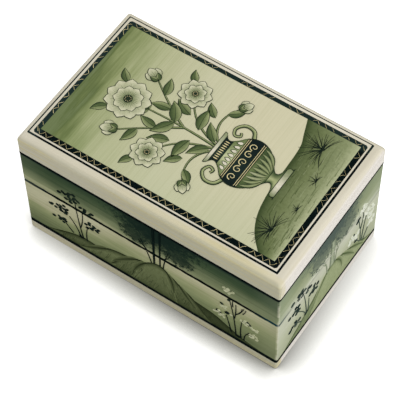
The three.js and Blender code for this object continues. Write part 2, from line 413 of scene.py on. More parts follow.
def ink_paint(name, rubbed=False):
    """Black-green paint, thin where the brush ran dry, and perhaps rubbed paler at back and left."""
    finish = Finish(name)
    thin = finish.noise((0.5, 0.5, 0.9), detail=4.0)
    colour = finish.mix(finish.span(thin, 0.55, 0.8), INK, INK_THIN)
    if rubbed:
        x, y, z = finish.place()
        colour = finish.mix(finish.span(y, HALF_DEPTH - 10, HALF_DEPTH - 8), colour, INK_BACK)
        colour = finish.mix(finish.span(x, 10 - HALF_LENGTH, 8 - HALF_LENGTH), colour, INK_LEFT)
    finish.coat(colour, thin, (0.4, 0.55), (0.03, 0.3), MATT)
    return finish


ink = ink_paint("black_line_paint")
girdle("foot_line", "base", FOOT_LINE, ink, thinner=0.5)
girdle("foot_edge", "base", FOOT_EDGE, cream_foot)


# Felt lining: a piece of dark green wool felt, cut by hand to the inside of the base.
# It is laid on the floor board, a millimetre thick and a little uneven, and its cut edges waver.
low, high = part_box("floor_lining")
FELT_COLUMNS = 70
FELT_ROWS = 40
FELT_WAVER = 0.35
FELT_WAVE = 0.08
FELT_RIPPLE_X = 0.11
FELT_RIPPLE_Y = 0.17
FELT_NAP = 0.03
FELT_TOP = high.z / MM - 0.15
FELT_UNDER = low.z / MM + 0.02
FELT_PRESSED = 0.3
FELT_DARK = (34, 46, 34)
FELT_GREEN = (66, 80, 58)
FELT_PALE = (84, 98, 72)
hand = random.Random(3)
near_edge, far_edge = ([hand.uniform(0, FELT_WAVER) for i in range(FELT_COLUMNS + 1)] for edge in range(2))
left_edge, right_edge = ([hand.uniform(0, FELT_WAVER) for i in range(FELT_ROWS + 1)] for edge in range(2))
felt_points = []
for skin in ("upper", "lower"):
    for r in range(FELT_ROWS + 1):
        for c in range(FELT_COLUMNS + 1):
            x0, x1 = low.x / MM + left_edge[r], high.x / MM - right_edge[r]
            y0, y1 = low.y / MM + near_edge[c], high.y / MM - far_edge[c]
            x = x0 + (x1 - x0) * c / FELT_COLUMNS
            y = y0 + (y1 - y0) * r / FELT_ROWS
            wave = FELT_WAVE * math.sin(x * FELT_RIPPLE_X + 1) * math.cos(y * FELT_RIPPLE_Y)
            on_edge = r in (0, FELT_ROWS) or c in (0, FELT_COLUMNS)
            upper = FELT_TOP + wave + hand.uniform(-FELT_NAP, FELT_NAP) - (FELT_PRESSED if on_edge else 0.0)
            felt_points.append((x, y, upper if skin == "upper" else FELT_UNDER))
felt = Finish("dark_green_felt")
fibres = felt.noise((2.2, 2.2, 2.2), detail=5.0, roughness=0.7)
nap = felt.noise((0.06, 0.06, 0.06))
felt_colour = felt.ramp(fibres, [(0.3, FELT_DARK), (0.7, FELT_GREEN)])
felt_colour = felt.mix(felt.span(nap, 0.35, 0.7, 0.0, 0.35), felt_colour, FELT_PALE)
felt.set(Base_Color=felt_colour, Roughness=0.95, Sheen_Weight=0.4, Sheen_Roughness=0.5)
felt.bump(fibres, 0.3, 0.8)
dress(["floor_lining"], [felt])
felt_faces = slab(FELT_ROWS + 1, FELT_COLUMNS + 1)
felt_piece = add_piece("felt_lining", felt_points, felt_faces, felt, "base")
felt_piece.data.shade_smooth()
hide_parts("floor_lining")


# Hinges: two butt hinges of drawn brass, each two leaves rolled round a pin.
# They are let into the rear rims of base and lid, and held by small countersunk brass screws.
BRASS = [(0.35, (206, 168, 96)), (0.6, (176, 136, 70)), (0.75, (112, 88, 52))]
brass = Finish("tarnished_brass")
tarnish = brass.noise((0.35, 0.35, 0.35), detail=5.0)
drawn = brass.noise((0.15, 4.0, 4.0), detail=2.0)
brass.set(Base_Color=brass.ramp(tarnish, BRASS), Metallic=1.0)
brass.set(Roughness=brass.span(tarnish, 0.35, 0.7, 0.26, 0.5))
brass.bump(drawn, 0.02, 0.4)
dress([name for name in nodes if name.startswith("hinge_")], [brass])


# Lid rails: four boards under the lid top, butted like the base walls and sanded flush with them.
# The landscape ground goes on across the seam: dark green under the lid, paler towards the seam,
# with a soft dark mass of tree crowns in the middle of each side.
low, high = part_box("lid_front_rail")
LID_RIM_Z = low.z / MM
BOARD_Z = high.z / MM
LID_LINE = (BOARD_Z - 2.0, BOARD_Z + 0.05)
LONG_GREEN = [(0.0, (168, 171, 134)), (0.15, (130, 139, 104)), (0.43, (93, 106, 77)), (0.64, (67, 85, 60)),
              (0.85, (60, 77, 57)), (1.0, (38, 55, 46))]
END_GREEN = [(0.0, (200, 203, 184)), (0.22, (170, 176, 148)), (0.5, (144, 152, 120)),
             (0.8, (130, 140, 112)), (1.0, (110, 120, 104))]
LONG_CROWN = ((33, 48, 38), (26, 42, 36), (6, 66.5, 25.5, 16), (-7, 53.2, 8.6, 7), (18, 52.6, 9, 6.6))
END_CROWN = ((100, 110, 96), (76, 88, 82), (1, 67, 24, 14), (-8, 55, 11, 8.5), (13, 53.5, 11, 9))
rail_heights = (LID_RIM_Z, BOARD_Z)
lid_long = ground_paint("lid_long_ground", True, rail_heights, LONG_GREEN, lean=(-0.2, 4, 12),
                        corner=((150, 160, 130), 0.12, 0.2), seam=(LID_RIM_Z, 1.0), crown=LONG_CROWN)
lid_end = ground_paint("lid_end_ground", False, rail_heights, END_GREEN, lean=(-0.05, 4, 12),
                       corner=((146, 156, 128), 0.5, 0.5), seam=(LID_RIM_Z, 0.25), crown=END_CROWN)
dress(["lid_front_rail", "lid_back_rail"], [wood, lid_long, lid_end], outside)
dress(["lid_right_rail", "lid_left_rail"], [cross_wood, lid_long, lid_end], outside)
girdle("lid_line", "lid", LID_LINE, ink, thinner=-0.6)


# Lid top board: a thick board with its upper edge rounded over, glued on the rails.
# Its edge and margin are cream, brushed along the edges, and worn a little warmer on the round.
LID_TOP_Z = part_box("lid_top_board")[1].z / MM
LID_STREAKS = [(77.4, 1.3), (75.2, 0.8), (71.6, 1.1)]
cream_lid = cream_paint("cream_lid_paint", LACQUER, LID_STREAKS)
dress(["lid_top_board"], [cream_lid, wood], underside)


# Lid panel: the framed picture ground on the lid, a green sky that pales along it, brushed across.
# It is edged by a black-green strip, a bare cream gap and a thin black line, finer and rubbed paler at back
# and left. All was set out by eye, a millimetre nearer to those two edges than to the others.
FACES = {"front": ((0, -HALF_DEPTH, 0), (1, 0, 0), (0, 0, 1)),
         "right": ((HALF_LENGTH, 0, 0), (0, 1, 0), (0, 0, 1)),
         "back": ((0, HALF_DEPTH, 0), (-1, 0, 0), (0, 0, 1)),
         "left": ((-HALF_LENGTH, 0, 0), (0, -1, 0), (0, 0, 1)),
         "top": ((-1.0, 1.0, LID_TOP_Z), (0, 1, 0), (-1, 0, 0))}
LID_WINDOW = {"lid": (-HALF_LENGTH, HALF_LENGTH)}
LINE_INSET = 3.95
LINE_WIDTHS = {"back": 0.5, "left": 0.65, "front": 1.1, "right": 1.1}
STRIP_INSET = 6.0
STRIP_WIDTH = 2.75
STRIP_WIDTHS = {"back": 2.35, "left": 2.35, "front": 3.1, "right": 2.75}
FRAMES = ((LINE_INSET, LINE_WIDTHS, 0.3, 0.06), (STRIP_INSET, STRIP_WIDTHS, 0.9, 0.12))
PANEL_H = HALF_DEPTH - STRIP_INSET - STRIP_WIDTH
PANEL_V = HALF_LENGTH - STRIP_INSET - STRIP_WIDTH
PANEL_UNDER_STRIP = 1
PANEL_LIFT = 0.05
SKY = [(0.0, (112, 124, 84)), (0.018, (100, 113, 70)), (0.035, (110, 122, 76)), (0.08, (144, 153, 106)),
       (0.15, (174, 178, 137)), (0.28, (190, 190, 154)), (0.42, (199, 197, 165)), (0.6, (204, 199, 168)),
       (1.0, (203, 198, 168))]
SKY_FRONT_SHADE = (238, 245, 240)
SKY_HAIRS = (200, 206, 178)


class PaintFilm:
    """Coats of paint on one face of the box: thin closed solids with a colour at each point.

    Places are (h, v) in millimetres, across and up the face. A window is the span of v that one body
    carries, so what is painted over the seam is parted there.
    """

    def __init__(self, face="top", windows=LID_WINDOW):
        self.origin, self.across, self.upward = (Vector(part) for part in FACES[face])
        self.out = self.across.cross(self.upward)
        self.windows = windows
        self.coats = {body: ([], [], []) for body in windows}

    def patch(self, rows, tints, lift, loop=False):
        """A coat over rows of places, with a tint for each, joined up at the ends if it is a loop."""
        for body, (low, high) in self.windows.items():
            inside = [any(low < v < high for h, v in row) for row in rows]
            if not any(inside):
                continue
            first = max(inside.index(True) - 1, 0)
            last = min(len(rows) - inside[::-1].index(True) + 1, len(rows))
            points, faces, colours = self.coats[body]
            faces += slab(last - first, len(rows[0]), len(points), loop)
            for level in (lift, SINK):
                for row, shades in zip(rows[first:last], tints[first:last]):
                    for (h, v), shade in zip(row, shades):
                        up = self.upward * min(max(v, low), high)
                        points.append(self.origin + self.across * h + up + self.out * level)
                        colours.extend(linear(shade))

    def pieces(self, name, finish):
        """One piece for each body that carries a part of the coats."""
        for body, (points, faces, colours) in self.coats.items():
            if points:
                full_name = name if len(self.coats) == 1 else f"{name}_{body}"
                piece = add_piece(full_name, points, faces, finish, body)
                layer = piece.data.color_attributes.new("paint", "FLOAT_COLOR", "POINT")
                layer.data.foreach_set("color", colours)


def frame_rows(inset, widths, cut):
    """Places of a painted frame: its outer and inner outline, with the outer corners cut off a little."""
    h, v = HALF_DEPTH - inset, HALF_LENGTH - inset
    rows = []
    for sh, sv in ((1, 1), (-1, 1), (-1, -1), (1, -1)):
        across, upward = widths["back" if sh > 0 else "front"], widths["left" if sv > 0 else "right"]
        inner = (sh * (h - across), sv * (v - upward))
        ends = [(sh * h, sv * (v - cut)), (sh * (h - cut), sv * v)]
        rows += [[end, inner] for end in ends[::sh * sv]]
    return rows


sky_paint = Finish("lid_sky_paint")
x, y, z = sky_paint.place()
bands = sky_paint.noise((0.16, 0.02, 0.1), detail=4.0, roughness=0.6)
hairs = sky_paint.noise((1.5, 0.02, 0.1))
fade = sky_paint.plus(sky_paint.span(x, -PANEL_V, PANEL_V), sky_paint.span(bands, 0.3, 0.7, -0.04, 0.04),
                      sky_paint.span(y, -PANEL_H, PANEL_H, -0.03, 0.03))
# Painted shade towards the front edge of the panel.
front_shade_share = sky_paint.times(sky_paint.span(y, -PANEL_H, 0, 1.0, 0.0),
                           sky_paint.span(fade, 0.25, 0.55, 0.4, 1.0))
sky_colour = sky_paint.mix(front_shade_share, sky_paint.ramp(fade, SKY), SKY_FRONT_SHADE, "MULTIPLY")
hair_shade = sky_paint.span(hairs, 0.4, 0.75, 0.0, sky_paint.span(fade, 0.05, 0.35, 0.5, 0.22))
sky_colour = sky_paint.mix(hair_shade, sky_colour, SKY_HAIRS, "MULTIPLY")
sky_paint.coat(sky_colour, hairs, (0.42, 0.56), (0.03, 0.35), LACQUER)

panel = PaintFilm()
half_h, half_v = PANEL_H + PANEL_UNDER_STRIP, PANEL_V + PANEL_UNDER_STRIP
panel.patch([[(-half_h, v), (half_h, v)] for v in (-half_v, half_v)], [[SKY[0][1]] * 2] * 2, PANEL_LIFT)
panel.pieces("lid_panel_sky", sky_paint)

edging = PaintFilm()
for inset, widths, cut, lift in FRAMES:
    rows = frame_rows(inset, widths, cut)
    edging.patch(rows, [[INK] * 2] * len(rows), lift, loop=True)
edging.pieces("lid_frame_lines", ink_paint("black_frame_paint", rubbed=True))


# Gilding: a fine zigzag in gold paint along the black-green strip, drawn by hand with a liner brush.
# It is boldest at the front and the left, thin at the right, and sparse at the back.
GOLD = (222, 210, 158)
GOLD_FLAKED = (188, 172, 118)
ZIGZAG = 4.1
ZIGZAG_LIFT = 0.16
ZIGZAG_OUT = STRIP_INSET + 0.25
ZIGZAG_SIDES = (("front", -1, 0.85, 0.085), ("right", -1, 0.5, 0.052), ("left", 1, 0.5, 0.115),
                ("back", 1, 0.38, 0.07))


def taper(start, end):
    """Half width of a stroke that goes evenly from one width to another."""
    return lambda t: start + (end - start) * t


def stroke(film, path, half_width, lift, start, end=None):
    """One brush stroke along a path, in one tint or three across it, and perhaps others at its end."""
    tints = [tint if isinstance(tint[0], tuple) else (tint,) * 3 for tint in (start, end or start)]
    rows, shades = [], []
    last = len(path) - 1
    for i, (h, v) in enumerate(path):
        before, after = path[max(i - 1, 0)], path[min(i + 1, last)]
        dh, dv = after[0] - before[0], after[1] - before[1]
        length = math.hypot(dh, dv) or 1.0
        wide = half_width(i / last)
        side_h, side_v = -dv / length * wide, dh / length * wide
        rows.append([(h + side_h, v + side_v), (h, v), (h - side_h, v - side_v)])
        shades.append([blend(first, second, i / last) for first, second in zip(*tints)])
    film.patch(rows, shades, lift)


gold_paint = Finish("gold_liner_paint")
flakes = gold_paint.noise((1.6, 1.6, 1.6), detail=4.0)
gold_paint.set(Base_Color=gold_paint.ramp(flakes, [(0.3, GOLD), (0.75, GOLD_FLAKED)]), Metallic=0.25,
               Roughness=gold_paint.span(flakes, 0.3, 0.7, 0.3, 0.5))

gilding = PaintFilm()
hand = random.Random(7)
for side, sign, share, half in ZIGZAG_SIDES:
    across = side in ("left", "right")
    inner = STRIP_INSET + STRIP_WIDTHS[side] - 0.3
    side_half, across_half = (HALF_DEPTH, HALF_LENGTH) if across else (HALF_LENGTH, HALF_DEPTH)
    run = side_half - STRIP_INSET - STRIP_WIDTH / 2
    count = round(2 * run / ZIGZAG)
    places = []
    for i in range(2 * count + 1):
        s = -run + i * run / count + hand.uniform(-0.25, 0.25)
        t = sign * (across_half - (ZIGZAG_OUT if i % 2 else inner) + hand.uniform(-0.15, 0.15))
        places.append((s, t) if across else (t, s))
    for start, end in zip(places, places[1:]):
        bow, reach = hand.uniform(-0.3, 0.3), hand.uniform(0.75, 1.0)
        middle = ((start[0] + end[0]) / 2 + bow, (start[1] + end[1]) / 2 + bow)
        if hand.random() < share:
            width = half * hand.uniform(0.8, 1.3)
            stroke(gilding, [start, middle, blend(middle, end, reach)], taper(width, 0.6 * width),
                   ZIGZAG_LIFT + hand.uniform(0, 0.02), GOLD)
gilding.pieces("lid_frame_zigzag", gold_paint)


# Mound: the green ground that the picture on the lid stands on, at the right-hand end of the panel.
# It is brushed in olive over the sky, darker at its crest, with tufts of grass in black-green strokes.
OLIVE = (86, 98, 57)
DARK_OLIVE = (58, 71, 40)
PALE_OLIVE = (172, 177, 140)
GRASS_INK = (18, 30, 22)
FILM_SHADE = (186, 190, 170)
MOUND_LIFT = 0.1
MOUND_STROKE_LIFT = 0.13
MOUND_STROKES = 150
TUFT_LIFT = 0.18
TUFTS = (((-24, -56), 26, 11.5), ((27, -52), 30, 12.5), ((10, -59), 11, 5.5), ((-8, -60), 9, 4.5))
SMOOTH_STEPS = 8
CREST_DROPS = ((0, 0), (0.35, 0.1), (1.5, 0.3), (4.5, 0.6), (99, 0.8), (99, 1))
MOUND_RIDGE = [(-PANEL_H, -57.5), (-30, -50.5), (-20, -45.8), (-6, -43.4), (8, -43), (22, -42.2),
               (30, -39.5), (PANEL_H + 0.8, -36.3)]


def smooth(controls, steps=SMOOTH_STEPS):
    """Places along a smooth line through control places."""
    ends = [controls[0], *controls, controls[-1]]
    line = []
    for a, b, c, d in zip(ends, ends[1:], ends[2:], ends[3:]):
        for i in range(steps):
            t = i / steps
            weights = ((-t + 2 * t * t - t ** 3) / 2, (2 - 5 * t * t + 3 * t ** 3) / 2,
                       (t + 4 * t * t - 3 * t ** 3) / 2, (t ** 3 - t * t) / 2)
            line.append(tuple(sum(w * p for w, p in zip(weights, part)) for part in zip(a, b, c, d)))
    return line + [controls[-1]]


def hill(film, ridge, foot, lift, tones, hand, broad=1.0):
    """Ground below a ridge, shaded from its dark crest, which is so broad, down to its foot."""
    crest, body, base = tones
    rows, shades = [], []
    drift = 0.0
    for h, v in smooth(ridge):
        drift = 0.8 * drift + hand.uniform(-0.07, 0.07)
        inner = blend(body, base, min(max(0.5 + drift, 0.0), 1.0) * 0.5)
        tall = max(v - foot, 0.3)
        rows.append([(h, v - min(drop * broad, tall * share)) for drop, share in CREST_DROPS])
        shades.append([crest, crest, blend(crest, inner, 0.5), inner, blend(inner, base, 0.4), base])
    film.patch(rows, shades, lift)


def bent(root, angle, length, curl=0.0, steps=7):
    """Places along a stroke that leaves its root at an angle from upright and curls as it goes."""
    h, v = root
    places = [(h, v)]
    for i in range(steps):
        heading = math.radians(angle + curl * (i + 0.5) / steps)
        h, v = h + math.sin(heading) * length / steps, v + math.cos(heading) * length / steps
        places.append((h, v))
    return places


def tuft(film, root, count, length, lift, hand, tint, spread):
    """A tuft of grass, thin strokes fanned out from one root."""
    for i in range(count):
        angle = -spread + 2 * spread * (i + hand.uniform(0.2, 0.8)) / count
        reach = length * hand.uniform(0.5, 1.0)
        start = (root[0] + hand.uniform(-0.06, 0.06) * length, root[1] + hand.uniform(-0.05, 0.05) * length)
        blade = bent(start, angle, reach, curl=angle * 0.3, steps=5)
        stroke(film, blade, taper(0.2, 0.04), lift + 0.004 * (i % 6), tint)


def film_paint(name, gloss):
    """Paint in the tints of its strokes, brushed unevenly."""
    finish = Finish(name)
    tint = finish.add("ShaderNodeAttribute", attribute_name="paint").outputs["Color"]
    uneven = finish.noise((0.7, 0.7, 0.7), detail=4.0)
    colour = finish.mix(finish.span(uneven, 0.4, 0.75, 0.0, 0.4), tint, FILM_SHADE, "MULTIPLY")
    finish.coat(colour, uneven, (0.42, 0.58), (0.04, 0.35), gloss)
    return finish


lid_tints = film_paint("lid_brushed_tints", LACQUER)
mound = PaintFilm()
hill(mound, MOUND_RIDGE, -PANEL_V, MOUND_LIFT, (DARK_OLIVE, OLIVE, PALE_OLIVE), hand, broad=2.2)
for i in range(MOUND_STROKES):
    h = hand.uniform(-PANEL_H + 1.5, PANEL_H - 9)
    ridge = min(v for place, v in smooth(MOUND_RIDGE) if abs(place - h) < 7)
    v = hand.uniform(-PANEL_V + 1, ridge - 1.5)
    share = 0.55 * (ridge - v) / (ridge + PANEL_V) + hand.uniform(-0.2, 0.35)
    tint = blend(blend(OLIVE, DARK_OLIVE, 0.3), PALE_OLIVE, min(max(share, 0.0), 1.0))
    mark = bent((h, v), 84, hand.uniform(3, 9), curl=8, steps=4)
    stroke(mound, mark, taper(0.24, 0.05), MOUND_STROKE_LIFT + 0.003 * (i % 9), tint)
for root, count, length in TUFTS:
    tuft(mound, root, count, length, TUFT_LIFT, hand, GRASS_INK, spread=105)
mound.pieces("lid_mound", lid_tints)


# Flowering spray: the painted plant on the lid, stems and leaves in greens and large pale blossoms.
# Each leaf and petal is laid in with a shaded stroke over a slightly larger dark one, which outlines it.
# One half of the plant is drawn like the other, turned over.
OUTLINE = (34, 46, 32)
LEAF_DARK = (58, 74, 44)
LEAF_MID = (104, 118, 74)
LEAF_PALE = (168, 174, 126)
PETAL_ROOT = (112, 124, 80)
PETAL_TIP = (216, 213, 184)
STEM_LIFT = 0.13
LEAF_LIFT = 0.17
UPPER_LEAF_LIFT = 0.24
BLOSSOM_LIFT = 0.36
COAT = 0.03
LEAF = (0.42, 1.0)
PETAL = (0.62, 0.75)
DISC = (0.5, 0.5)
STAMENS = 9
SPRAY_LEAVES = [
    (0, 2.2, -7.0, 34, 11.5, 2.3, 26, LEAF_LIFT), (0, 3.6, 3.5, 72, 13, 2.7, 20, UPPER_LEAF_LIFT),
    (0, 9, 11.5, 12, 11, 2.4, 26, LEAF_LIFT), (1.0, 0, 15.5, 66, 12.5, 2.8, -22, UPPER_LEAF_LIFT + 0.01),
    (0, 6.4, 21, -2, 10.5, 2.2, -18, LEAF_LIFT), (0, 11.5, 28.5, 84, 10.5, 2.3, -20, LEAF_LIFT),
    (0, 14, 0.6, 30, 9, 2.0, 30, UPPER_LEAF_LIFT), (0, 19, -3.2, 150, 9, 2.0, -24, LEAF_LIFT),
    (0.6, 0, 30, 40, 9.5, 2.2, -16, UPPER_LEAF_LIFT), (0, 8.5, 48, 30, 8.5, 2.0, 30, LEAF_LIFT),
    (0, 26, 20, 40, 8, 1.9, 34, LEAF_LIFT)]


def curve(start, pull, end, steps=10):
    """Places on a smooth curve that leans towards one place."""
    line = []
    for i in range(steps + 1):
        t = i / steps
        weights = ((1 - t) ** 2, 2 * t * (1 - t), t * t)
        line.append(tuple(sum(w * p for w, p in zip(weights, part)) for part in zip(start, pull, end)))
    return line


def leaf_shape(wide, outline=LEAF):
    """Half width of a leaf, whose outline says where it is fullest and, if below 1, how blunt it is."""
    full, blunt = outline
    power = math.log(0.5) / math.log(full)
    return lambda t: max(wide * math.sin(math.pi * t ** power) ** blunt, 0.04)


def leaf(film, root, angle, length, wide, curl, lift, mirror):
    """A pointed leaf with one dark and one pale half, an outline and a midrib."""
    path = bent(root, angle, length, curl, steps=9)
    halves = (LEAF_PALE, LEAF_MID, LEAF_DARK) if mirror else (LEAF_DARK, LEAF_MID, LEAF_PALE)
    ends = tuple(blend(tint, LEAF_DARK, 0.35) for tint in halves)
    stroke(film, bent(root, angle, length + 0.5, curl, steps=9), leaf_shape(wide + 0.32), lift, OUTLINE)
    stroke(film, path, leaf_shape(wide), lift + COAT, ends, halves)
    stroke(film, path[:-1], taper(0.16, 0.05), lift + 2 * COAT, OUTLINE)


def petal(film, root, angle, length, wide, lift):
    """A rounded petal, pale at its rim, with an outline and fine veins."""
    dark = (blend(PETAL_ROOT, OUTLINE, 0.2), PETAL_ROOT, PETAL_ROOT)
    for more, wider, over, tints in ((0.3, 0.26, 0.0, (OUTLINE,)), (0.0, 0.0, 0.025, (dark, PETAL_TIP))):
        path = bent(root, angle, length + more, steps=9)
        stroke(film, path, leaf_shape(wide + wider, PETAL), lift + over, *tints)
    for turn in (-13, 0, 13):
        vein = bent(root, angle + turn, length * (0.62 if turn else 0.74), steps=4)
        stroke(film, vein, taper(0.13, 0.04), lift + 0.05, blend(PETAL_ROOT, OUTLINE, 0.45))


def blossom(film, gilt, centre, radius, count, turn):
    """An open blossom of two rings of petals round a gilt heart."""
    for ring, (reach, wide, number) in enumerate(((1.0, 0.31, count), (0.64, 0.22, count - 2))):
        for i in range(number):
            angle = turn + 360 * (i + ring * 0.5) / number
            over = 0.012 * (2 if i == number - 1 else i % 2)
            petal(film, centre, angle, radius * reach, radius * wide, BLOSSOM_LIFT + 0.08 * ring + over)
    heart = BLOSSOM_LIFT + 0.24
    disc = bent((centre[0], centre[1] - radius * 0.2), 0, radius * 0.4, steps=9)
    stroke(film, disc, leaf_shape(radius * 0.2, DISC), heart, OUTLINE)
    for i in range(STAMENS):
        angle = math.radians(360 / STAMENS * i)
        h, v = math.sin(angle) * radius * 0.13, math.cos(angle) * radius * 0.13
        spot = (centre[0] + h, centre[1] + v - 0.2)
        stroke(gilt, bent(spot, 0, 0.4, steps=4), leaf_shape(0.22, DISC), heart + COAT, GOLD)


def bud(film, root, angle, size):
    """A closed bud of three petals in a green cup."""
    for turn, reach, over in ((-24, 1.0, 0.0), (24, 1.0, 0.02), (0, 1.15, 0.07)):
        petal(film, root, angle + turn, size * reach, size * 0.3, BLOSSOM_LIFT + over)
    for turn in (-42, 42):
        leaf(film, root, angle + turn, size * 0.6, size * 0.16, -turn * 0.7, BLOSSOM_LIFT + 0.14, turn > 0)


spray = PaintFilm()
gilt = PaintFilm()
stems = [curve((0, -9), (2.2, 14), (0, 40), steps=16)]
for side in (-1, 1):
    stems.append(curve((side * 1.2, -9), (side * 5, 10), (side * 20, 16)))
    stems.append(curve((side * 2.4, -9), (side * 12, 2), (side * 25.5, -7)))
    stems.append(curve((0.9, 10), (side * 8, 24), (side * 18, 37)))
for i, stem in enumerate(stems):
    stroke(spray, stem, taper(0.75, 0.4), STEM_LIFT + 0.004 * i, OUTLINE)
    stroke(spray, stem, taper(0.45, 0.18), STEM_LIFT + COAT + 0.001 * i, (LEAF_DARK, LEAF_MID, LEAF_PALE))
for side in (-1, 1):
    for on_stem, aside, v, angle, length, wide, curl, lift in SPRAY_LEAVES:
        hanging = angle > 90
        root = (on_stem + side * aside, v)
        leaf(spray, root, side * angle, length, wide, side * curl, lift, (side < 0) != hanging)
    blossom(spray, gilt, (side * 20.5, 16.5), radius=8.6, count=9, turn=8 * side)
    bud(spray, (side * 24.5, -6.2), side * 128, size=6.5)
    bud(spray, (side * 17.2, 36), side * 24, size=7.5)
blossom(spray, gilt, (0, 42), radius=11.8, count=11, turn=0)
spray.pieces("lid_spray", lid_tints)


# Urn: the painted vase that holds the spray, black-green with sage lobes and gold scrolls.
# It is laid in flat like the rest, shaded darker at its sides, and the gold is drawn over it last.
URN_LIFT = 0.34
LOBE = (0.6, 0.6)
DROP = (0.4, 0.7)
TOUCH = (0.5, 0.6)
SCROLL_STEPS = 18
SCROLL_TURN = 7.5
URN = [(-47.0, 8.6), (-45.4, 9.0), (-44.2, 7.6), (-42.6, 3.6), (-41.0, 2.7), (-39.2, 4.2), (-35.5, 9.4),
       (-30.5, 13.2), (-25.0, 14.4), (-20.0, 12.8), (-16.2, 8.8), (-13.2, 6.6), (-11.2, 7.0), (-9.6, 9.2),
       (-8.4, 9.9)]
URN_DARK = (12, 24, 23)
URN_SAGE = (150, 158, 112)
URN_BANDS = [(-47.0, -44.4, (120, 130, 92), CREAM, 6), (-44.0, -39.4, LEAF_DARK, LEAF_PALE, 14),
             (-39.0, -29.6, LEAF_DARK, LEAF_MID, 14), (-29.2, -19.8, URN_DARK, (26, 40, 36), 12),
             (-19.4, -14.6, LEAF_MID, (190, 194, 152), 10), (-14.2, -10.4, URN_DARK, (40, 56, 46), 8),
             (-10.0, -8.4, (140, 148, 112), CREAM, 4)]
URN_LIGHT = ((-1, 0), (-0.8, 0.35), (-0.5, 0.85), (-0.25, 1), (0.05, 0.8), (0.4, 0.45), (0.75, 0.15),
             (1, 0))
URN_HANDLE = [(13.2, -22), (17.6, -19.5), (18.2, -14.5), (14.5, -11.2), (10.8, -12.6), (11.6, -15.4),
              (13.6, -14.8)]
urn_line = smooth(URN, steps=6)


def half_urn(v):
    """Half width of the urn at a height."""
    for (v0, w0), (v1, w1) in zip(urn_line, urn_line[1:]):
        if v0 <= v <= v1:
            return w0 + (w1 - w0) * (v - v0) / (v1 - v0)
    return urn_line[-1][1]


def urn_band(film, bottom, top, lift, edge, middle, steps, grow=0.0):
    """A band of the urn between two heights, shaded from its sides to a lit stripe."""
    rows, shades = [], []
    for i in range(steps + 1):
        v = bottom + (top - bottom) * i / steps
        rows.append([((half_urn(v) + grow) * place, v) for place, light in URN_LIGHT])
        shades.append([blend(edge, middle, light) for place, light in URN_LIGHT])
    film.patch(rows, shades, lift)


urn = PaintFilm()
urn_band(urn, -47.3, -8.1, URN_LIFT, OUTLINE, OUTLINE, steps=60, grow=0.4)
for bottom, top, edge, middle, steps in URN_BANDS:
    urn_band(urn, bottom, top, URN_LIFT + COAT, edge, middle, steps)
for i in range(-4, 5):
    lobe = curve((i * 0.75, -38.6), (i * 2.6, -36.5), (i * 2.95, -29.9), steps=8)
    wide = 1.15 - 0.07 * abs(i)
    lit = blend(URN_SAGE, PETAL_TIP, 0.55 if i in (-2, -1) else 0.1)
    stroke(urn, lobe, leaf_shape(wide + 0.3, LOBE), URN_LIFT + 2 * COAT, OUTLINE)
    stroke(urn, lobe, leaf_shape(wide, LOBE), URN_LIFT + 3 * COAT, (LEAF_DARK, URN_SAGE, LEAF_DARK),
           (LEAF_DARK, lit, LEAF_DARK))
for i in range(-3, 4):
    for v, length, wide, coats, tint in ((-19.2, 3.6, 1.15, 2, LEAF_DARK), (-19.0, 2.8, 0.75, 3, CREAM)):
        drop = bent((i * 2.9, v), i * -7, length, steps=6)
        stroke(urn, drop, leaf_shape(wide, DROP), URN_LIFT + coats * COAT, tint)
for side in (-1, 1):
    handle = smooth([(side * h, v) for h, v in URN_HANDLE], steps=5)
    stroke(urn, handle, taper(1.15, 0.7), URN_LIFT - COAT, OUTLINE)
    stroke(urn, handle, taper(0.75, 0.35), URN_LIFT, (LEAF_DARK, URN_SAGE, LEAF_PALE))
urn.pieces("lid_urn", lid_tints)

GILT_LIFT = URN_LIFT + 0.07
for v in (-29.0, -28.0, -21.0, -20.0):
    wide = half_urn(v) - 0.5
    stroke(gilt, [(-wide, v), (0, v), (wide, v)], taper(0.14, 0.14), GILT_LIFT, GOLD)
for i in range(-2, 3):
    way = 1 if i % 2 else -1
    scroll = []
    for step in range(SCROLL_STEPS + 1):
        t = step / SCROLL_STEPS
        h = (2.1 - 1.7 * t) * math.cos(SCROLL_TURN * t)
        v = (2.4 - 1.9 * t) * math.sin(SCROLL_TURN * t)
        scroll.append((i * 4.9 + way * h, v - 24.5))
    stroke(gilt, scroll, taper(0.24, 0.12), GILT_LIFT, GOLD)
for i in range(-4, 5):
    stroke(gilt, bent((i * 1.35, -13.6), 0, 2.6, steps=4), leaf_shape(0.3, TOUCH), GILT_LIFT, GOLD)
gilt.pieces("lid_gilt_scrolls", gold_paint)


# Side scenes: a hilly landscape with trees and flowering plants, painted round the closed box.
# It runs over the seam, and is parted there, so that the upper part of each scene opens with the lid.
# The back repeats the front the other way round, and the left end the right end.
SEAM_EASE = 0.65
SCENE_FOOT = FOOT_LINE[1] - 0.2
SIDE_WINDOWS = {"base": (SCENE_FOOT, BASE_RIM_Z - SEAM_EASE), "lid": (LID_RIM_Z + SEAM_EASE, LID_LINE[0])}
HILL_MARKS = 100
DOWN_RIGHT = 162
DOWN_LEFT = 198
GOLDEN_TURN = 2.4
HILL_LIFT = 0.05
CREASE_LIFT = 0.16
TRUNK_LIFT = 0.20
CROWN_LIFT = 0.23
PLANT_LIFT = 0.28
SCENE_LEAF_LIFT = 0.31
SCENE_PETAL_LIFT = 0.35
LONG_TONES = {"hill": ((42, 50, 30), (130, 139, 98), (76, 85, 55)), "trunk": ((10, 20, 20), (20, 34, 30)),
              "crown": (LONG_CROWN[1], (76, 90, 66)), "stem": (13, 25, 25), "tuft": (13, 25, 25),
              "leaves": (2.5, (13, 25, 25), (76, 90, 66)),
              "petals": (2.2, (206, 208, 174), (158, 164, 124))}
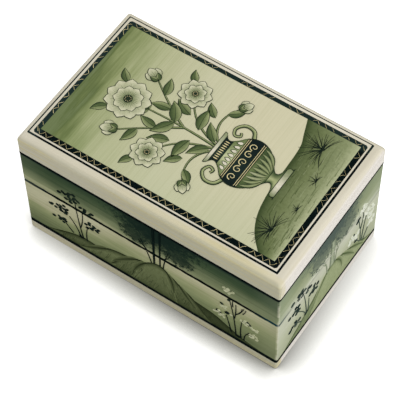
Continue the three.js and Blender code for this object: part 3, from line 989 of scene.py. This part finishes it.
END_TONES = {"hill": ((80, 93, 62), (157, 166, 128), (150, 159, 120)),
             "trunk": ((120, 130, 108), (168, 176, 150)), "crown": (END_CROWN[1], (128, 138, 120)),
             "stem": (72, 86, 76), "tuft": (24, 38, 38), "leaves": (3.0, (24, 38, 38), (128, 138, 120)),
             "petals": (2.9, (226, 228, 214), (176, 184, 160))}
LONG_LAYOUT = {
    "hills": [
        ([(-73.5, 8), (-62, 10), (-53, 14.6), (-44, 18.6), (-35, 19.6), (-27, 17), (-20, 11),
          (-15, 6.8)], 0.3),
        ([(22, 22), (31, 20.8), (39, 19.4), (46, 16), (54, 12), (63, 9.6), (73.5, 8.4)], 0.65),
        ([(-45, 7.5), (-37, 14.8), (-29, 21), (-20, 25.2), (-12, 26.6), (-5, 25.5), (2, 22), (8, 15)], 0),
        ([(8, 35), (13, 32.6), (18, 28.4), (22, 25.6), (27, 21.6), (32, 15.5), (36, 10.5),
          (39, 6.8)], 0.25),
        ([(-25, 8), (-18, 18.5), (-11, 26.6), (-5, 30.2), (1, 30.8), (5, 29), (8, 24)], 0.15),
        ([(-12, 6.8), (-8.5, 18), (-4, 27.5), (1, 33.4), (6.5, 36), (11.5, 33.6), (14.5, 27), (16, 18),
          (17, 6.8)], 0)],
    "creases": [
        [(11, 33.6), (15, 28), (15, 17)], [(-1, 31), (-6, 26), (-10, 14.5)],
        [(-6, 29.6), (-14, 24), (-22, 14)], [(18, 28.2), (22, 22), (27, 14.5)],
        [(-24, 23), (-31, 18), (-41, 10.5)]],
    "trunks": [
        ([(2.2, 34.6), (0, 44), (-3.5, 51.5)], 0.34, 0.18),
        ([(3.9, 35.4), (4, 46), (4.2, 66)], 0.55, 0.75), ([(7.4, 35.8), (7.4, 48), (8.2, 66)], 0.4, 0.5),
        ([(9.2, 35), (10, 44), (12.6, 52)], 0.34, 0.16), ([(10, 44.6), (13, 47), (13.8, 52)], 0.28, 0.12),
        ([(0, 44.8), (-2.6, 46.5), (-5, 50)], 0.26, 0.12)],
    "crowns": [((6, 66), (24, 14), 30), ((-7, 53), (8.4, 6.4), 50), ((18, 52.4), (8.8, 6), 40)],
    "stems": [
        [(-41.3, 19), (-43, 27), (-47.4, 33)], [(-39.8, 18.6), (-42, 32), (-42.6, 48)],
        [(-40.8, 28.5), (-38.6, 36), (-38.8, 43.5)], [(-37.6, 18.6), (-38, 27), (-36, 33)],
        [(-46, 19), (-48, 21), (-50.4, 24.6)], [(48.8, 12.2), (47.6, 19), (45.8, 26)],
        [(51.6, 11.6), (50.4, 30), (47.6, 42.5)], [(50.6, 27.5), (51.6, 35), (51.2, 41)],
        [(51, 31.5), (54.6, 36), (55.8, 41.5)], [(54.4, 11.6), (53.6, 22), (55.2, 29.5)],
        [(56.2, 11.4), (56.2, 18.5), (59.8, 20.6)], [(53.4, 35.4), (54.4, 37), (54.8, 40.4)],
        [(55.2, 36), (56.4, 37.5), (57, 41)], [(40.4, 27), (41.2, 25), (42.2, 23)],
        [(49.6, 37.5), (49.2, 40), (49.4, 43)]],
    "leaves": [
        (-45.2, 51.6, 5.4, 4.3, 13), (-52.4, 51, 0.5, 0.5, 1), (-36, 46.4, 4, 2.5, 6),
        (-51, 36.4, 4.8, 3.7, 10), (-57.6, 35.8, 1.8, 0.6, 2), (-34, 34.6, 4.9, 3.5, 9),
        (-52.4, 25.8, 3.5, 2.3, 6), (-57.8, 25.2, 0.5, 0.5, 1), (41.2, 25.4, 0.8, 1.2, 2),
        (46.2, 28.8, 0.5, 1.4, 2), (58.6, 30, 1.4, 1.2, 2), (47.6, 42, 0.6, 0.6, 1),
        (43, 34.6, 0.4, 0.4, 1), (59, 20, 0.8, 0.6, 1)],
    "petals": [
        (47, 50.2, 3.4, 2.3, 7), (44.6, 33, 2, 1.8, 4), (42, 24.2, 3.6, 2.4, 7), (56.4, 29, 2.8, 2, 6),
        (62, 27.4, 2.6, 1.2, 4), (61.8, 20, 3, 2.2, 7), (48.4, 29, 0.4, 0.4, 1)],
    "tufts": [(-41, 18.4, 6, 3), (53, 11, 8, 3)]}
END_LAYOUT = {
    "hills": [
        ([(-45, 6.9), (-36, 11), (-27, 15.4), (-18, 20.6), (-10, 26), (-4, 30.4), (0, 30), (4, 26)], 0.4),
        ([(-20, 6.9), (-14, 16), (-9, 24), (-3.5, 31.4), (2, 33.8), (7, 32.2), (13, 28.4), (20, 24.4),
          (28, 18.6), (36, 12.4), (45, 7.4)], 0)],
    "creases": [
        [(5, 33), (11.5, 27), (12.5, 17)], [(12, 29), (20, 20), (25, 12)],
        [(-3, 31.5), (-8, 26), (-15, 15)], [(20, 24), (28, 17), (34, 10)]],
    "trunks": [
        ([(1.8, 33.2), (1.4, 42), (1.4, 55)], 2.1, 1.8),
        ([(-2.6, 31.6), (-3, 40), (-7, 47.5)], 0.45, 0.2),
        ([(-3.6, 40), (-6, 42), (-7.6, 45.5)], 0.3, 0.14), ([(4.6, 33), (5.4, 40), (5.8, 48)], 0.4, 0.2),
        ([(5.4, 40.5), (7.4, 43), (8.4, 46)], 0.28, 0.12)],
    "crowns": [((1, 65), (21, 12), 14), ((-8, 54), (11, 8), 40), ((13, 53.5), (10, 8.4), 40)],
    "stems": [
        [(-21, 18.6), (-24, 26), (-28.4, 31)], [(-20.4, 18.8), (-21.4, 30), (-24.2, 41)],
        [(-19.2, 19.4), (-18.6, 26), (-19, 31)], [(-25, 16.4), (-27, 19), (-29.6, 22)],
        [(30, 17.2), (29, 30), (25.8, 42)], [(31.4, 16.2), (31.6, 27), (33.6, 36)],
        [(29, 18), (27, 22), (24, 25)], [(28.6, 29), (31, 37), (30.2, 44)],
        [(33, 15), (36, 21), (39.6, 25)]],
    "leaves": [
        (-26.6, 45, 3.6, 3.9, 7), (-34, 46.4, 0.6, 0.5, 2), (-20.2, 41, 2.2, 2.4, 3),
        (-30.4, 34.6, 3.6, 4.3, 7), (-36.4, 36.2, 0.5, 0.5, 1), (-14, 33.4, 4.8, 3.2, 6),
        (-31.4, 22.2, 4.8, 3, 6), (26, 41.8, 1.4, 1.6, 2), (22, 33, 1.6, 1.4, 1),
        (24.4, 24.4, 1.4, 1.2, 1)],
    "petals": [
        (30, 47.2, 3.6, 3, 7), (20.2, 31, 3, 2.6, 5), (25.2, 28.4, 2.8, 2.8, 6), (33.6, 38.6, 3, 3.2, 6),
        (37.4, 32, 3.2, 2.8, 6), (39.6, 24.4, 3.4, 2.6, 7), (38.8, 37, 2.6, 2, 3)],
    "tufts": [(-21, 18, 6, 3)]}
scene_tints = film_paint("scene_brushed_tints", MATT)


def dab(film, place, angle, length, wide, lift, tint):
    """One touch of a pointed brush, centred on its place."""
    slope = math.radians(angle)
    start = (place[0] - math.sin(slope) * length / 2, place[1] - math.cos(slope) * length / 2)
    stroke(film, bent(start, angle, length, steps=6), leaf_shape(wide, TOUCH), lift, tint)


def hillside(film, ridge, lift, tones, hand):
    """A hill with its soft dark crest, brushed down its slopes."""
    body, base = tones[1:]
    hill(film, ridge, SCENE_FOOT, lift, tones, hand)
    line = smooth(ridge)[6:-6]
    for i in range(HILL_MARKS):
        h, v = hand.choice(line)
        share = hand.uniform(0.08, 0.75)
        drop = share * (v - SCENE_FOOT)
        lean = DOWN_RIGHT if h > line[len(line) // 2][0] else DOWN_LEFT
        reach = min(hand.uniform(3, 10), v - drop - SCENE_FOOT)
        tint = blend(body, base, 0.25 + 0.6 * share + hand.uniform(-0.35, 0.5))
        mark = bent((h, v - drop - 0.6), lean + hand.uniform(-10, 10), reach, curl=6, steps=4)
        stroke(film, mark, taper(0.2, 0.04), lift + 0.012 + 0.001 * (i % 6), tint)


def crease(film, start, pull, end, tones):
    """A fold in a hill: a soft shadow with a darker line along it."""
    crest, body, base = tones
    fold = curve(start, pull, end)
    upper, lower, dark = blend(body, base, 0.3), blend(body, base, 0.65), blend(crest, body, 0.08)
    stroke(film, fold, leaf_shape(2.0, DROP), CREASE_LIFT, (upper, dark, upper),
           (lower, blend(dark, lower, 0.5), lower))
    stroke(film, fold, taper(0.5, 0.15), CREASE_LIFT + 0.02, crest, blend(dark, lower, 0.3))


def crown(film, centre, half_size, count, tints, hand):
    """Outer leaves of a tree, touched in along the frayed lower rim of one lobe of its crown."""
    for i in range(count):
        angle, reach = hand.uniform(math.pi * 0.9, math.pi * 2.1), hand.uniform(0.7, 1.12)
        h = centre[0] + half_size[0] * reach * math.cos(angle)
        v = centre[1] + half_size[1] * reach * math.sin(angle)
        tint = blend(tints[0], tints[1], hand.uniform(0.5, 1.0) * (reach - 0.4))
        dab(film, (h, v), hand.uniform(30, 150), hand.uniform(0.5, 1.2), hand.uniform(0.15, 0.3),
            CROWN_LIFT + 0.002 * (i % 15), tint)


def bunch(film, centre, reach, count, lift, tones, hand):
    """A loose bunch of oval touches, spread evenly and lying mostly sideways."""
    size, tint, fade = tones
    turn = hand.uniform(0, 2 * math.pi)
    for i in range(count):
        angle = turn + GOLDEN_TURN * i + hand.uniform(-0.25, 0.25)
        share = math.sqrt((i + 0.5) / count) * hand.uniform(0.9, 1.08)
        h = centre[0] + reach[0] * share * math.cos(angle)
        v = centre[1] + reach[1] * share * math.sin(angle)
        dab(film, (h, v), 90 + hand.uniform(-40, 40), size * hand.uniform(0.8, 1.15),
            size * hand.uniform(0.28, 0.36), lift + 0.004 * (i % 7),
            blend(tint, fade, hand.uniform(0.0, 0.45)))


def side_scene(face, layout, tones, seed, mirrored=False):
    """One side's landscape, laid out in millimetres from the middle of the side and from the floor."""
    hand = random.Random(seed)
    film = PaintFilm(face, SIDE_WINDOWS)
    flip = -1 if mirrored else 1

    def turned(places):
        return [(h * flip, v) for h, v in places]

    for i, (ridge, shade) in enumerate(layout["hills"]):
        dark = tuple(blend(tone, tones["hill"][0], shade) for tone in tones["hill"])
        hillside(film, sorted(turned(ridge)), HILL_LIFT + 0.018 * i, dark, hand)
    for fold in layout["creases"]:
        crease(film, *turned(fold), tones["hill"])
    edge, middle = tones["trunk"]
    for i, (places, start, end) in enumerate(layout["trunks"]):
        line = curve(*turned(places), steps=12)
        stroke(film, line, taper(start, end), TRUNK_LIFT + 0.003 * i, (edge, middle, edge))
    for (h, v), half_size, count in layout["crowns"]:
        crown(film, (h * flip, v), half_size, count, tones["crown"], hand)
    for i, places in enumerate(layout["stems"]):
        line = curve(*turned(places), steps=12)
        stroke(film, line, taper(0.3, 0.13), PLANT_LIFT + 0.003 * i, tones["stem"])
    for kind, lift in (("leaves", SCENE_LEAF_LIFT), ("petals", SCENE_PETAL_LIFT)):
        for h, v, wide, tall, count in layout[kind]:
            bunch(film, (h * flip, v), (wide, tall), count, lift, tones[kind], hand)
    for h, v, count, length in layout["tufts"]:
        tuft(film, (h * flip, v), count, length, PLANT_LIFT, hand, tones["tuft"], spread=65)
    film.pieces(f"{face}_scene", scene_tints)


side_scene("front", LONG_LAYOUT, LONG_TONES, seed=11)
side_scene("right", END_LAYOUT, END_TONES, seed=12)
side_scene("back", LONG_LAYOUT, LONG_TONES, seed=13, mirrored=True)
side_scene("left", END_LAYOUT, END_TONES, seed=14, mirrored=True)


# Studio: a pale floor and room, a large soft lamp from the right and weak ones from the front and left.
# The floor shows white where nothing shades it. A soft shadow at the foot of the box is painted into the
# floor by ambient occlusion, fuller in front and at the right, with a painted warm light thrown back from
# the box.
FLOOR_HALF = 3.0
FLOOR_GLOW = 0.9
FLOOR_SHADE = (0.62, 0.62, 0.62, 1)
# Painted warm light thrown back from the box, which tints the shadow.
SHADOW_GLOW = (1.0, 0.99, 0.84, 1)
BLACK = (0, 0, 0, 1)
WHITE = (1, 1, 1, 1)
CONTACT_REACH = 0.0146
RIGHT_REACH = 0.0200
RIGHT_START = (64, 74)
CONTACT_DEPTH = 2.3
ROOM_LIGHT = 0.47
BOX_MIDDLE = Vector((0, 0, 0.04))
LAMP_DISTANCE = 1.0
LAMPS = (("right_softbox", (1.0, -0.12, 1.0), 0.8, 8.0), ("front_fill", (-0.3, -1.0, 0.5), 0.8, 1.2),
         ("left_fill", (-1.0, 0.3, 0.22), 0.4, 2.6))


def seen_by_camera(finish):
    """1 where the camera looks, also by mirror or through glass, and 0 for light that falls on the box."""
    rays = finish.add("ShaderNodeLightPath").outputs
    return finish.math("MAXIMUM", rays["Is Camera Ray"], rays["Is Glossy Ray"], rays["Is Transmission Ray"])


pale_floor = Finish("pale_floor")
seen = seen_by_camera(pale_floor)
x, y, z = pale_floor.place()
# Painted shadow: the floor is darkened by its ambient occlusion, fuller in front and at the right.
in_front = pale_floor.times(pale_floor.span(x, -HALF_LENGTH, 20, 0.72, 1.0),
                            pale_floor.span(y, -34, -46, 0.2, 1.0))
at_right = pale_floor.times(pale_floor.span(y, -HALF_DEPTH, HALF_DEPTH, 0.98, 0.6),
                            pale_floor.span(x, *RIGHT_START))
behind = pale_floor.span(y, -30, -18, 0.0, 0.6)
fullness = pale_floor.times(pale_floor.math("MAXIMUM", in_front, at_right, behind), seen)
reach = pale_floor.span(x, *RIGHT_START, CONTACT_REACH, RIGHT_REACH)
open_sky = pale_floor.add("ShaderNodeAmbientOcclusion", {"Distance": reach}, samples=16).outputs["AO"]
open_sky = pale_floor.math("POWER", open_sky, CONTACT_DEPTH)
open_sky = pale_floor.span(open_sky, 0.0, 1.0, pale_floor.math("SUBTRACT", 1.0, fullness), 1.0)
pale_floor.set(Base_Color=pale_floor.mix(open_sky, BLACK, FLOOR_SHADE), Roughness=1.0)
pale_floor.set(Specular_IOR_Level=MATT, Emission_Color=pale_floor.mix(open_sky, SHADOW_GLOW, WHITE))
pale_floor.set(Emission_Strength=pale_floor.times(seen, open_sky, FLOOR_GLOW))

floor_mesh = bpy.data.meshes.new("studio_floor")
floor_corners = [(sx * FLOOR_HALF, sy * FLOOR_HALF, 0) for sx, sy in ((-1, -1), (1, -1), (1, 1), (-1, 1))]
floor_mesh.from_pydata(floor_corners, [], [(0, 1, 2, 3)])
floor_mesh.materials.append(pale_floor.owner)
floor = bpy.data.objects.new("studio_floor", floor_mesh)
bpy.context.collection.objects.link(floor)

room = Finish("pale_room", bpy.data.worlds, "Background")
bpy.context.scene.world = room.owner
room.set(Color=WHITE, Strength=room.span(seen_by_camera(room), 0.0, 1.0, ROOM_LIGHT, 1.0))
for name, towards, size, power in LAMPS:
    lamp_data = bpy.data.lights.new(name, "AREA")
    lamp_data.size = size
    lamp_data.energy = power
    lamp = bpy.data.objects.new(name, lamp_data)
    bpy.context.collection.objects.link(lamp)
    direction = Vector(towards).normalized()
    lamp.location = BOX_MIDDLE + direction * LAMP_DISTANCE
    lamp.rotation_euler = direction.to_track_quat("Z", "Y").to_euler()


# Camera: at the photograph's viewing angle, with a long lens and no shift.
# It aims a little below the middle of the box and is rolled a little, as in the photograph.
VIEW_AZIMUTH = 35.17
VIEW_ELEVATION = 57.06
VIEW_ROLL = -1.22
VIEW_DISTANCE = 0.8349
AIM_RIGHT = -0.00073
AIM_UP = -0.0062
LENS = 151.8
SENSOR_WIDTH = 36.0
azimuth, elevation, roll = (math.radians(angle) for angle in (VIEW_AZIMUTH, VIEW_ELEVATION, VIEW_ROLL))
back = Vector((math.sin(azimuth) * math.cos(elevation), -math.cos(azimuth) * math.cos(elevation),
               math.sin(elevation)))
turn = back.to_track_quat("Z", "Y").to_matrix() @ Matrix.Rotation(roll, 3, "Z")
aim = BOX_MIDDLE + turn @ Vector((AIM_RIGHT, AIM_UP, 0))
camera_data = bpy.data.cameras.new("photo_camera")
camera_data.lens = LENS
camera_data.sensor_width = SENSOR_WIDTH
camera = bpy.data.objects.new("photo_camera", camera_data)
bpy.context.collection.objects.link(camera)
camera.matrix_world = Matrix.Translation(aim + back * VIEW_DISTANCE) @ turn.to_4x4()
bpy.context.scene.camera = camera
bpy.context.scene.view_settings.view_transform = "Standard"
